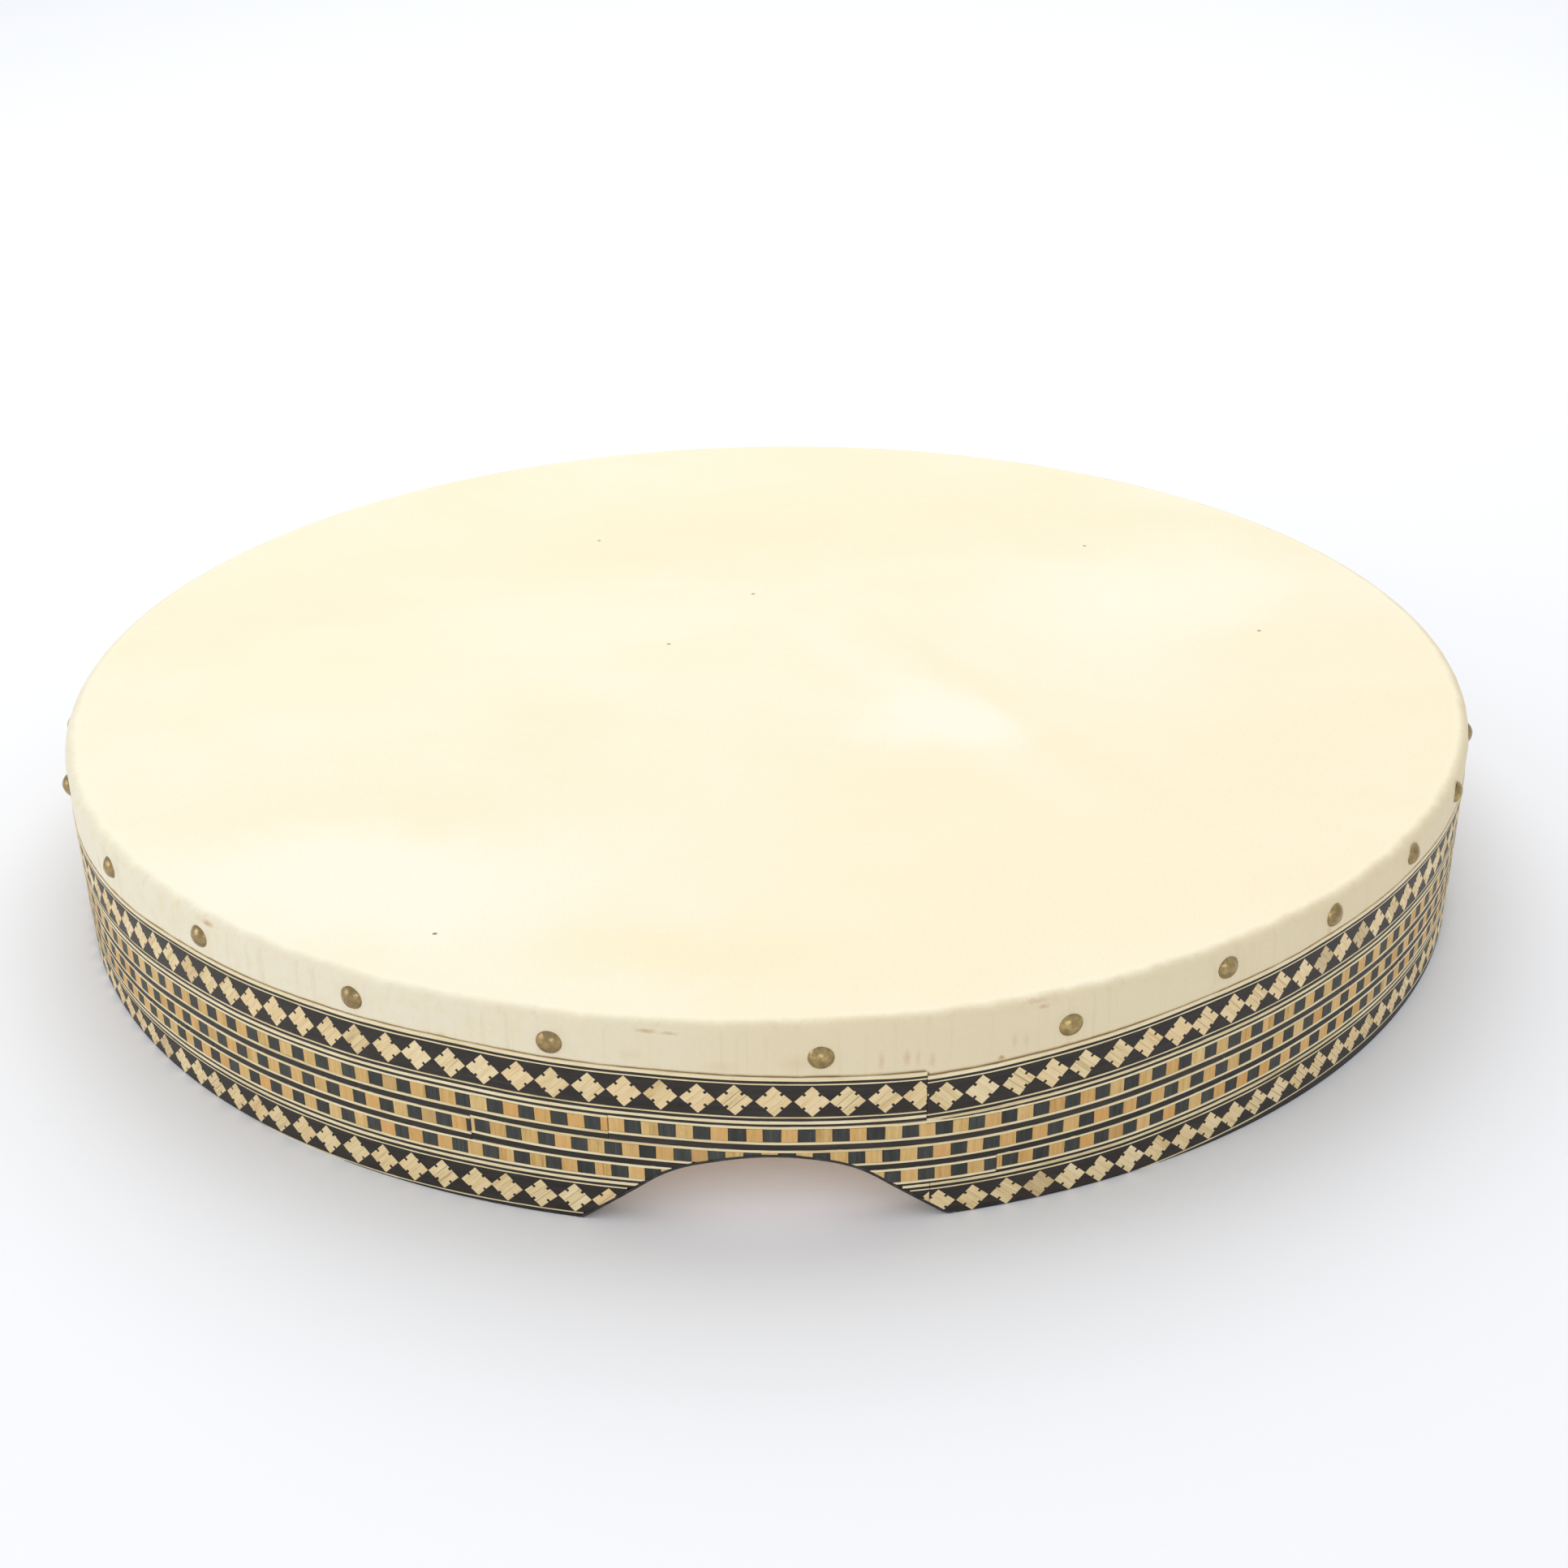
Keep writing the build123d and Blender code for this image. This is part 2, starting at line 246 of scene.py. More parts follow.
def add_slip(maker, outline, tone, grain, top, edge=0.12, lift=0.0):
    """One bent slip of veneer, with its edges bevelled.

    outline: (mm round the wall, mm up); grain: its direction in radians; top: how far its face stands
    out of the marquetry's; lift: how far it is moved up, with its strip.
    """
    outline = notch_clip(outline)
    clean = []
    for p in outline:
        if not clean or math.dist(p, clean[-1]) > NEAREST:
            clean.append(p)
    if len(clean) > 1 and math.dist(clean[0], clean[-1]) < NEAREST:
        clean.pop()
    if len(clean) < 3 or area(clean) < SMALLEST_SLIP:
        return
    n = len(clean)
    inner = inset(clean, edge)
    if area(inner) < SMALLEST_FACE:
        inner = inset(clean, edge * 0.3)
    shift = rng.uniform(0, 90)
    face_r = VENEER_R + top
    rings = [(clean, GLUED_R), (clean, face_r - edge * 0.8), (inner, face_r)]
    base = len(maker.verts)
    for ring, radius in rings:
        maker.verts.extend(place(a * DEGREE, z, radius, lift) for a, z in ring)

    def grain_of(p):
        a, z = p
        return (
            a * math.cos(grain) + z * math.sin(grain) + shift,
            -a * math.sin(grain) + z * math.cos(grain) + shift * 0.37,
        )

    for level in (0, 1):
        lower, upper = rings[level][0], rings[level + 1][0]
        for i in range(n):
            j = (i + 1) % n
            below, above = base + level * n, base + (level + 1) * n
            corners = [below + i, below + j, above + j, above + i]
            maker.face(corners, [grain_of(p) for p in (lower[i], lower[j], upper[j], upper[i])], tone)
    maker.face([base + 2 * n + i for i in range(n)], [grain_of(p) for p in inner], tone)


BAND_STEP = 0.25  # degrees
BAND_EDGE = 0.1  # bevel along a strip, in mm
THINNEST_BAND = 0.12


def add_band(maker, start, end, low, high, tone, top, lift, seed, waviness=0.05, worn=0.0, to_foot=False):
    """A long strip between two angles; low and high are its nominal edges in mm.

    It is left out where the notch cuts it away. With to_foot it reaches down to the foot all round.
    """
    count = max(int((end - start) / BAND_STEP), 1)
    spans, current = [], []
    for i in range(count + 1):
        angle = start + (end - start) * i / count
        rise = lift(angle)
        z0 = low + noise.noise(Vector((angle * 0.35, seed, 0.0))) * waviness * 1.6
        z1 = high + noise.noise(Vector((angle * 0.9, seed + 7, 3.0))) * waviness
        foot = FOOT - sag(angle, z0) - rise
        z0 = foot if to_foot else max(z0, foot)
        cut = notch_top(angle)
        if cut > NO_NOTCH:
            z0 = max(z0, cut - sag(angle, cut) - rise)
        if z1 - z0 > THINNEST_BAND:
            wear = 0.0
            if worn:
                wear = max(noise.noise(Vector((angle * 2.2, seed, 9.0))) - 0.25, 0.0) * worn
            current.append((angle, z0, z1, rise, wear))
        elif current:
            spans.append(current)
            current = []
    if current:
        spans.append(current)
    shift = rng.uniform(0, 500)
    for span in spans:
        if len(span) < 2:
            continue
        base = len(maker.verts)
        rows = []
        for angle, z0, z1, rise, wear in span:
            e = min(BAND_EDGE, (z1 - z0) * 0.3)
            face_r = VENEER_R + top - wear
            rows.append([
                (z0, GLUED_R), (z0, face_r - e * 0.8), (z0 + e, face_r),
                (z1 - e, face_r), (z1, face_r - e * 0.8), (z1, GLUED_R),
            ])
            maker.verts.extend(place(angle, z, radius, rise) for z, radius in rows[-1])
        for i in range(len(span) - 1):
            a0, a1 = span[i][0] / DEGREE, span[i + 1][0] / DEGREE
            for k in range(5):
                here, there = base + i * 6 + k, base + (i + 1) * 6 + k
                corners = [here, there, there + 1, here + 1]
                zs = (rows[i][k][0], rows[i + 1][k][0], rows[i + 1][k + 1][0], rows[i][k + 1][0])
                grains = [(a + shift, z) for a, z in zip((a0, a1, a1, a0), zs)]
                maker.face(corners, grains, tone)
        for i, order in ((0, range(5, -1, -1)), (len(span) - 1, range(6))):
            corners = [base + i * 6 + k for k in order]
            a = span[i][0] / DEGREE
            maker.face(corners[::-1], [(a + shift, rows[i][k][0]) for k in order][::-1], tone)


# ------------------------------------------------------------------ materials
class Nodes:
    """Short forms for the nodes of one material."""

    def __init__(self, name):
        self.material = bpy.data.materials.new(name)
        self.material.use_nodes = True
        self.tree = self.material.node_tree
        self.shader = self.tree.nodes["Principled BSDF"]

    def new(self, kind, **values):
        node = self.tree.nodes.new(kind)
        for key, value in values.items():
            setattr(node, key, value)
        return node

    def link(self, a, b):
        self.tree.links.new(a, b)

    def put(self, socket, value):
        if isinstance(value, bpy.types.NodeSocket):
            self.link(value, socket)
        else:
            socket.default_value = value

    def math(self, operation, a, b=0.0):
        node = self.new("ShaderNodeMath", operation=operation)
        for i, value in enumerate((a, b)):
            self.put(node.inputs[i], value)
        return node.outputs[0]

    def vector(self, operation, *values):
        node = self.new("ShaderNodeVectorMath", operation=operation)
        for i, value in enumerate(values):
            self.put(node.inputs[i], value)
        return node.outputs[0]

    def mix(self, factor, a, b):
        node = self.new("ShaderNodeMix", data_type="RGBA")
        self.put(node.inputs[0], factor)
        for socket, value in ((node.inputs[6], a), (node.inputs[7], b)):
            self.put(socket, value if isinstance(value, bpy.types.NodeSocket) else (*value, 1.0))
        return node.outputs[2]

    def tint(self, colour, over, mask, strength):
        """The colour with another over it where the mask is 1, as far as strength says."""
        return self.mix(self.math("MULTIPLY", mask, strength), colour, over)

    def parts(self, vector):
        """x, y and z of a vector."""
        node = self.new("ShaderNodeSeparateXYZ")
        self.link(vector, node.inputs[0])
        return node.outputs

    def whole(self, x, y, z=0.0):
        """A vector from its x, y and z."""
        node = self.new("ShaderNodeCombineXYZ")
        for i, value in enumerate((x, y, z)):
            self.put(node.inputs[i], value)
        return node.outputs[0]

    def radius(self, x, y):
        squares = [self.math("MULTIPLY", c, c) for c in (x, y)]
        return self.math("SQRT", self.math("ADD", *squares))

    def place(self):
        """The point itself, in metres from the drum's centre on the floor."""
        return self.new("ShaderNodeTexCoord").outputs["Object"]

    def ramp(self, value, low, high, a=0.0, b=1.0):
        node = self.new("ShaderNodeMapRange", interpolation_type="SMOOTHSTEP")
        for i, v in enumerate((value, low, high, a, b)):
            self.put(node.inputs[i], v)
        return node.outputs[0]

    def noise(self, vector, scale, detail, rough, distortion=0.0, output="Fac"):
        node = self.new("ShaderNodeTexNoise")
        self.link(vector, node.inputs["Vector"])
        node.inputs["Scale"].default_value = scale
        node.inputs["Detail"].default_value = detail
        node.inputs["Roughness"].default_value = rough
        node.inputs["Distortion"].default_value = distortion
        return node.outputs[output]

    def blob(self, vector, centre, size, core=0.0):
        """1 in the core of an oval round the centre, fading to 0 at its edge; z is left out."""
        node = self.new("ShaderNodeMapping")
        self.link(vector, node.inputs["Vector"])
        node.inputs["Scale"].default_value = (1 / size[0], 1 / size[1], 0)
        node.inputs["Location"].default_value = (-centre[0] / size[0], -centre[1] / size[1], 0)
        length = self.new("ShaderNodeVectorMath", operation="LENGTH")
        self.link(node.outputs["Vector"], length.inputs[0])
        return self.ramp(length.outputs["Value"], 1.0, core)  

    def scaled(self, vector, x, y, z):
        node = self.new("ShaderNodeMapping")
        self.link(vector, node.inputs["Vector"])
        node.inputs["Scale"].default_value = (x, y, z)
        return node.outputs["Vector"]

    def bump(self, height, distance, strength):
        node = self.new("ShaderNodeBump")
        node.inputs["Strength"].default_value = strength
        node.inputs["Distance"].default_value = distance
        self.link(height, node.inputs["Height"])
        return node.outputs["Normal"]

    def finish(self, colour, roughness, normal=None, metallic=0.0, specular=0.5):
        self.put(self.shader.inputs["Base Color"], colour)
        self.put(self.shader.inputs["Roughness"], roughness)
        if normal is not None:
            self.link(normal, self.shader.inputs["Normal"])
        self.shader.inputs["Metallic"].default_value = metallic
        self.shader.inputs["Specular IOR Level"].default_value = specular
        return self.material


def veneer(name, dark, mid, light, along, across, streak, rough, bump, stain):
    """Wood veneer with its grain along the first grain coordinate.

    along and across set how fine the grain is, streak how much of it is fine. Each slip's tone colour
    gives its shade, its warmth and its dirt.
    """
    m = Nodes(name)
    grain = m.new("ShaderNodeUVMap", uv_map="grain").outputs["UV"]
    split = m.new("ShaderNodeSeparateColor")
    m.link(m.new("ShaderNodeAttribute", attribute_name="tone").outputs["Color"], split.inputs[0])
    shade, warm, dirt = split.outputs
    fine = m.noise(m.scaled(grain, along, across, 1), 1.0, 4.0, 0.65)
    broad = m.noise(m.scaled(grain, along * 0.25, across * 0.22, 1), 1.0, 2.0, 0.5)
    pores = m.noise(m.scaled(grain, along * 2.4, across * 3.2, 1), 1.0, 2.0, 0.5)
    level = m.math("ADD", m.math("MULTIPLY", fine, streak), m.math("MULTIPLY", broad, 1 - streak))
    level = m.math("ADD", level, m.math("MULTIPLY", m.math("SUBTRACT", shade, 0.5), 0.38))
    colour = m.mix(m.ramp(level, 0.28, 0.52), dark, mid)
    colour = m.mix(m.ramp(level, 0.48, 0.78), colour, light)
    ruddy = tuple(min(c * f, 1) for c, f in zip(mid, (1.02, 0.72, 0.5)))
    colour = m.tint(colour, ruddy, warm, 0.6)
    pore = m.ramp(pores, 0.62, 0.74)
    colour = m.tint(colour, tuple(c * 0.55 for c in mid), pore, 0.35)
    grime = m.ramp(m.noise(m.scaled(grain, 0.35, 0.5, 1), 1.0, 4.0, 0.6), 0.55, 0.8)
    grime = m.math("MAXIMUM", m.math("MULTIPLY", grime, 0.22), dirt)
    colour = m.mix(grime, colour, stain)
    height = m.math("SUBTRACT", m.math("MULTIPLY", fine, 0.6), m.math("MULTIPLY", pore, 0.5))
    wear = m.math("ADD", m.math("MULTIPLY", broad, 0.25), rough - 0.08)
    return m.finish(colour, wear, m.bump(height, bump, 0.8), specular=0.32)


BLACK_WOOD = veneer(
    "black_wood", (0.011, 0.008, 0.006), (0.026, 0.020, 0.016), (0.060, 0.047, 0.038),
    along=0.12, across=2.2, streak=0.55, rough=0.44, bump=0.00007, stain=(0.06, 0.038, 0.025),
)
DARK_WOOD = veneer(
    "dyed_wood", (0.016, 0.017, 0.015), (0.039, 0.042, 0.037), (0.085, 0.088, 0.078),
    along=0.10, across=2.6, streak=0.6, rough=0.48, bump=0.00005, stain=(0.05, 0.04, 0.03),
)
TAN_WOOD = veneer(
    "tan_wood", (0.44, 0.26, 0.080), (0.66, 0.44, 0.165), (0.80, 0.61, 0.31),
    along=0.14, across=3.0, streak=0.55, rough=0.48, bump=0.00005, stain=(0.22, 0.11, 0.04),
)
PALE_WOOD = veneer(
    "pale_wood", (0.58, 0.44, 0.21), (0.82, 0.69, 0.42), (0.92, 0.83, 0.60),
    along=0.10, across=2.5, streak=0.5, rough=0.48, bump=0.00005, stain=(0.25, 0.14, 0.05),
)
STRAW_WOOD = veneer(
    "straw_wood", (0.58, 0.42, 0.19), (0.81, 0.64, 0.36), (0.90, 0.77, 0.52),
    along=0.12, across=2.4, streak=0.55, rough=0.48, bump=0.00007, stain=(0.26, 0.16, 0.07),
)

# ------------------------------------------------------------------ courses of marquetry
CHECKER_PITCH = 360 / 167  # degrees taken up by a dark and a tan square together
SQUARE_HALF = CHECKER_PITCH / 4
LOZENGE_PITCH = 360 / 158  # and by a lozenge
CHECKER_SEAMS = 57, 112  # repeats from a course's first seam to its other two
BORDER_SEAMS = 52, 106
SEAM = 0.09 * DEGREE  # half the gap at a butt seam
SEAM_FADE = 4.0  # degrees in which a strip gets back to its line
TIGHTER = 0.035  # share by which the repeats are closer in one stretch
TIGHT_FROM, TIGHT_SPAN = -67, 50  # its start and length in degrees


def tone(low, high, warm=0.0, dirt=0.0):
    """A slip's own tone: a shade between low and high, its warmth and its dirt."""
    return (rng.uniform(low, high), warm, dirt)


def laid(first, pitch, n):
    """Angle of the n-th repeat after the first, laid a little tighter right of the front."""
    angle = first + n * pitch
    if first > 180:
        return angle
    return angle - TIGHTER * min(max(angle - TIGHT_FROM, 0), TIGHT_SPAN)


def strips_of(seams):
    """(start, end) angles of the three strips between a course's seams; the first is near the front."""
    return [(seams[0], seams[1]), (seams[1], seams[2]), (seams[2], seams[0] + 360)]


def seam_lift(seam, right, left):
    """How far, in mm, strips stand off their line to the right and left of a seam, fading from it."""

    def lift(angle):
        away = signed(angle - seam)
        if away >= 0:
            return right * math.exp(-away / SEAM_FADE)
        return left * math.exp(away / SEAM_FADE)

    return lift


def add_lines(names, seams, lift, seed):
    """Thin strips of one course, each at its CAD node's levels. names: (node, whether pale, piece)."""
    for number, (node, pale, name) in enumerate(names):
        low, high = levels(node)
        trim = 0.11 if "fine" in node else 0.05 if pale else -0.06
        worn = 0.0 if pale else 0.9 if "fillet" in node else 0.25
        maker = Maker()
        for k, (start, end) in enumerate(strips_of(seams)):
            add_band(
                maker, start + SEAM, end - SEAM, low + trim, high - trim, tone(0.35, 0.65),
                top=rng.uniform(-0.05, 0.03) - (0.0 if pale else 0.05), lift=lift,
                waviness=0.10 if pale else 0.06, seed=seed + number * 3.1 + k, worn=worn,
                to_foot=node == "lower_outer_black_line",
            )
        if pale:
            maker.build(name, PALE_WOOD, node, "light_wood")
        else:
            maker.build(name, BLACK_WOOD, node, "black_wood")


NARROWEST = 0.12  # degrees; less of a square is left out
WIDEST_SLIP = 6  # mm


def jitter(spread):
    """A hand-made deviation of about this much."""
    return rng.gauss(0, spread)


def repeats(start, end, first, pitch):
    """Numbers of the repeats that can reach between two angles."""
    return range(int((start - first) / pitch) - 2, int((end - first) / pitch) + 3)


def checker(number, seam, right_start, left_start, pitches, lift_right, lift_left):
    """One strip of dark and tan squares with pale edges, and the black fillet below it.

    seam is the angle of its first butt seam; right_start and left_start are those of the first dark
    squares on its two sides; pitches are those of its three strips; the lifts go to seam_lift().
    """
    prefix = f"checker_{number}"
    seams = (seam, *(seam + n * CHECKER_PITCH for n in CHECKER_SEAMS))
    lift = seam_lift(seam, lift_right, lift_left)
    low, high = levels(f"{prefix}_dark_squares")
    dark, tan = Maker(), Maker()
    starts = (right_start, seams[1] + 0.9, left_start + 360)
    for (start, end), first, pitch in zip(strips_of(seams), starts, pitches):
        edges = []
        for n in repeats(start, end, first, pitch):
            centre = laid(first, pitch, n)
            edges.append((centre - SQUARE_HALF + jitter(0.022), True))
            edges.append((centre + SQUARE_HALF + jitter(0.022), False))
        for (a, is_dark), (b, _) in zip(edges, edges[1:]):
            a, b = max(a, start + SEAM), min(b, end - SEAM)
            if b - a < NARROWEST:
                continue
            lean = jitter(0.03)
            gap = 0.035 + max(jitter(0.03), 0)
            a_mm, b_mm = a / DEGREE + gap, b / DEGREE - gap
            z0, z1 = low + rng.uniform(0.0, 0.08), high - rng.uniform(0.0, 0.08)
            outline = [(a_mm - lean, z0), (b_mm - lean, z0), (b_mm + lean, z1), (a_mm + lean, z1)]
            rise = lift((a + b) / 2)
            if is_dark:
                add_slip(dark, outline, tone(0.3, 0.7), math.pi / 2, rng.uniform(-0.05, 0.02), lift=rise)
            else:
                warm = max(rng.gauss(0.28 if number == 1 else 0.5, 0.28), 0.0)
                dirt = 0.25 if rng.random() < 0.04 else 0.0
                # one tan square in four, or a wide one, is glued up from two narrower slips
                parts = rng.choice((1, 1, 1, 2)) if b_mm - a_mm < WIDEST_SLIP else 2
                for k in range(parts):
                    f0, f1 = k / parts, (k + 1) / parts
                    x0 = a_mm + (b_mm - a_mm) * f0 + (0.02 if k else 0)
                    x1 = a_mm + (b_mm - a_mm) * f1
                    part = [(x0 - lean, z0), (x1 - lean, z0), (x1 + lean, z1), (x0 + lean, z1)]
                    warmth = min(warm + rng.uniform(-0.1, 0.1), 1)
                    mark = tone(0.25, 0.75, warmth, dirt)
                    add_slip(tan, part, mark, math.pi / 2, rng.uniform(-0.04, 0.03), lift=rise)
    dark.build(f"{prefix}_dark_slips", DARK_WOOD, f"{prefix}_dark_squares", "dark_wood")
    tan.build(f"{prefix}_tan_slips", TAN_WOOD, f"{prefix}_light_squares", "tan_wood")
    edge_nodes = (f"{prefix}_upper_edge", f"{prefix}_lower_edge")
    add_lines([(node, True, f"{node}_strip") for node in edge_nodes], seams, lift, number * 17.0)
    fillet = f"black_fillet_{number}"
    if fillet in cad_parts:
        add_lines([(fillet, False, f"{fillet}_strip")], seams, lift, number * 23.0)


LOZENGE_HALF = 3.8  # half a lozenge's side, in mm
STEP = 0.45  # half the width of the step cut into each side


def lozenge_slats():
    """The three slats of a lozenge, as outlines in its own axes: along the grain and across it."""
    h, s = LOZENGE_HALF, STEP
    cut = h / 3
    d = 2 * s * rng.uniform(0.8, 1.15)
    upper = [(-h, cut), (h, cut), (h, h), (s, h), (s, h - d), (-s, h - d), (-s, h), (-h, h)]
    middle = [
        (-h, -cut), (h, -cut), (h, -s), (h - d, -s), (h - d, s), (h, s), (h, cut),
        (-h, cut), (-h, s), (d - h, s), (d - h, -s), (-h, -s),
    ]
    lower = [(-h, -h), (-s, -h), (-s, d - h), (s, d - h), (s, -h), (h, -h), (h, -cut), (-h, -cut)]
    return upper, middle, lower


LINE_KINDS = (
    "edge_line", "outer_black_line", "outer_fine_line", "inner_fine_line",
    "inner_black_line", "broad_line", "last_black_line", "first_black_line",
)


def border(prefix, seam, right_start, left_start, pitches, lift_right, lift_left, seed):
    """One border: black ground with lozenges let into it, and its thin lines.

    Its first angles, pitches and lifts are as in checker(). The lozenges' grain turns the other way in
    the strip right of the first seam.
    """
    seams = (seam, *(seam + n * LOZENGE_PITCH for n in BORDER_SEAMS))
    lift = seam_lift(seam, lift_right, lift_left)
    low, high = levels(f"{prefix}_border_ground")
    middle = (low + high) / 2
    ground, straw = Maker(), Maker()
    for k, (start, end) in enumerate(strips_of(seams)):
        add_band(
            ground, start + SEAM, end - SEAM, low + 0.02, high - 0.02, tone(0.4, 0.6),
            top=-0.07, lift=lift, seed=k + seed,
        )
    ground.build(f"{prefix}_black_ground", BLACK_WOOD, f"{prefix}_border_ground", "black_wood")
    starts = (right_start, seams[1] + LOZENGE_PITCH / 2, left_start + 360)
    for strip, ((start, end), first, pitch) in enumerate(zip(strips_of(seams), starts, pitches)):
        slope = math.radians(-45 if strip == 0 else 45)
        limits = (
            ((start + SEAM) / DEGREE, 0, 1, 0), ((end - SEAM) / DEGREE, 0, -1, 0),
            (0, low + 0.05, 0, 1), (0, high - 0.05, 0, -1),
        )
        for n in repeats(start, end, first, pitch):
            centre = laid(first, pitch, n) + jitter(0.055)
            if not start - LOZENGE_PITCH / 2 < centre < end + LOZENGE_PITCH / 2:
                continue
            z_mid = middle + jitter(0.12)
            turn = slope + jitter(0.022)
            warm = max(rng.gauss(0.1, 0.15), 0)
            dirt = rng.uniform(0.15, 0.35) if rng.random() < 0.05 else 0.0
            shade = rng.uniform(0.35, 0.65)
            size = rng.uniform(0.985, 1.03)
            loose = rng.random() < 0.2  # with open joints between its slats
            for outline in lozenge_slats():
                slide = jitter(0.10)
                gap = rng.uniform(0.03, 0.07) if loose else 0.010
                mid_q = sum(q for _, q in outline) / len(outline)
                points = []
                for p, q in outline:
                    if abs(abs(q) - LOZENGE_HALF / 3) < 0.01:  # an edge beside another slat
                        q -= math.copysign(gap, q - mid_q)
                    p2, q2 = (p + slide) * size, q * size
                    a = p2 * math.cos(turn) - q2 * math.sin(turn)
                    z = p2 * math.sin(turn) + q2 * math.cos(turn)
                    points.append((centre / DEGREE + a, z_mid + z))
                for limit in limits:
                    if len(points) > 2:
                        points = clip(points, *limit)
                if len(points) < 3:
                    continue
                mark = (min(max(shade + rng.uniform(-0.12, 0.12), 0), 1), warm, dirt)
                add_slip(straw, points, mark, turn, rng.uniform(-0.03, 0.03), 0.07, lift(centre))
    straw.build(f"{prefix}_lozenge_slats", STRAW_WOOD, f"{prefix}_border_lozenges", "lozenge_wood")
    names = []
    for kind in LINE_KINDS:
        node = f"{prefix}_{kind}"
        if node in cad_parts:
            names.append((node, "black" not in kind, f"{node}_strip"))
    add_lines(names, seams, lift, 40.0 + seed * 6)


UPPER_SEAM = -80.2
UPPER_LIFTS = -1.1, 0.5  # mm right and left of the seam
border("upper", UPPER_SEAM, -78.94, -80.56, (2.33, 2.278, 2.312), *UPPER_LIFTS, 0.0)
checker(1, -100.2, -98.6, -101.2, (2.17, 2.156, 2.175), 0.1, -0.15)
checker(2, -109.5, -108.7, -111.44, (2.189, 2.156, 2.164), 0.45, -0.3)
checker(3, -75.5, -74.57, -75.8, (2.16, 2.156, 2.165), 0.3, -0.2)
border("lower", -79.9, -77.0, -100.46 - 6 * 2.285, (2.25, 2.278, 2.285), 0.0, 0.0, 5.0)

# ------------------------------------------------------------------ skin head
AROUND = 900  # columns of the mesh round the drum
HEAD_RINGS = (0.03, 0.1, 0.2, 0.3, 0.4, 0.5, 0.6, 0.7, 0.8, 0.88, 0.94, 0.97, 0.985, 0.993)
TURN_STEPS = 8  # over the shoulder
LAP_RINGS = (0.12, 0.3, 0.5, 0.7, 0.85, 0.95, 1.0)  # shares of the way down the lap


def skin_profile(edge, off):
    """(radius, z) in mm from the middle out and down to the lap's edge, this far off the outside."""
    flat, top = LAP_R - SHOULDER, HEIGHT - SHOULDER
    points = [(flat * f, HEIGHT - off) for f in HEAD_RINGS]
    for k in range(TURN_STEPS + 1):
        t = math.radians(90 * k / TURN_STEPS)
        r = SHOULDER - off
        points.append((flat + r * math.sin(t), top + r * math.cos(t)))
    points += [(LAP_R - off, top + (edge - top) * f) for f in LAP_RINGS]
    return points


def skin_head():
    """The skin: a nearly flat head, a soft shoulder over the rim and a lap with a cut edge."""
    flat = LAP_R - SHOULDER
    lap_lift = seam_lift(UPPER_SEAM, *UPPER_LIFTS)
    verts, faces = [(0, 0, HEIGHT * MM)], []
    columns = []
    for side in (0, 1):  # outside and inside
        for i in range(AROUND):
            angle = -180 + 360 * i / AROUND
            turn = math.radians(angle)
            edge = LAP_EDGE + sag(angle, LAP_EDGE) + lap_lift(angle)
            column = []
            for r, z in skin_profile(edge, side * SKIN):
                if side == 0:
                    if r < flat:
                        spot = Vector((math.cos(turn) * r * 0.02, math.sin(turn) * r * 0.02, z * 0.03))
                        z += noise.noise(spot) * 0.15 * min((flat - r) / 20, 1) - 0.05
                    else:
                        ripple = noise.noise(Vector((angle * 0.55, z * 0.05, 2.0))) * 0.22
                        ripple += noise.noise(Vector((angle * 1.7, z * 0.08, 5.0))) * 0.10
                        r += ripple * min((HEIGHT - z) / 3, 1) - 0.05
                column.append(len(verts))
                verts.append((r * math.cos(turn) * MM, r * math.sin(turn) * MM, z * MM))
            columns.append(column)
    centre_in = len(verts)
    verts.append((0, 0, (HEIGHT - SKIN) * MM))
    for side in (0, 1):
        base = side * AROUND
        for i in range(AROUND):
            a, b = columns[base + i], columns[base + (i + 1) % AROUND]
            for k in range(len(a) - 1):
                quad = (a[k], a[k + 1], b[k + 1], b[k])
                faces.append(quad if side == 0 else quad[::-1])
            middle = centre_in if side else 0
            faces.append((middle, a[0], b[0]) if side == 0 else (middle, b[0], a[0]))
    for i in range(AROUND):  # the cut edge
        a, b = columns[i], columns[(i + 1) % AROUND]
        c, d = columns[AROUND + i], columns[AROUND + (i + 1) % AROUND]
        faces.append((a[-1], c[-1], d[-1], b[-1]))
    mesh = bpy.data.meshes.new("skin_head")
    mesh.from_pydata(verts, [], faces)
    nearness = [0.0] * len(verts)
    for column in columns:
        nearness[column[-1]] = 1.0
        nearness[column[-2]] = 0.4
    edge = mesh.attributes.new(name="lap_edge", type="FLOAT", domain="POINT")
    edge.data.foreach_set("value", nearness)
    mesh.polygons.foreach_set("use_smooth", [True] * len(mesh.polygons))
    piece = add_object(mesh, hide_material())
    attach(piece, "root")
    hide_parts("drumhead_skin")


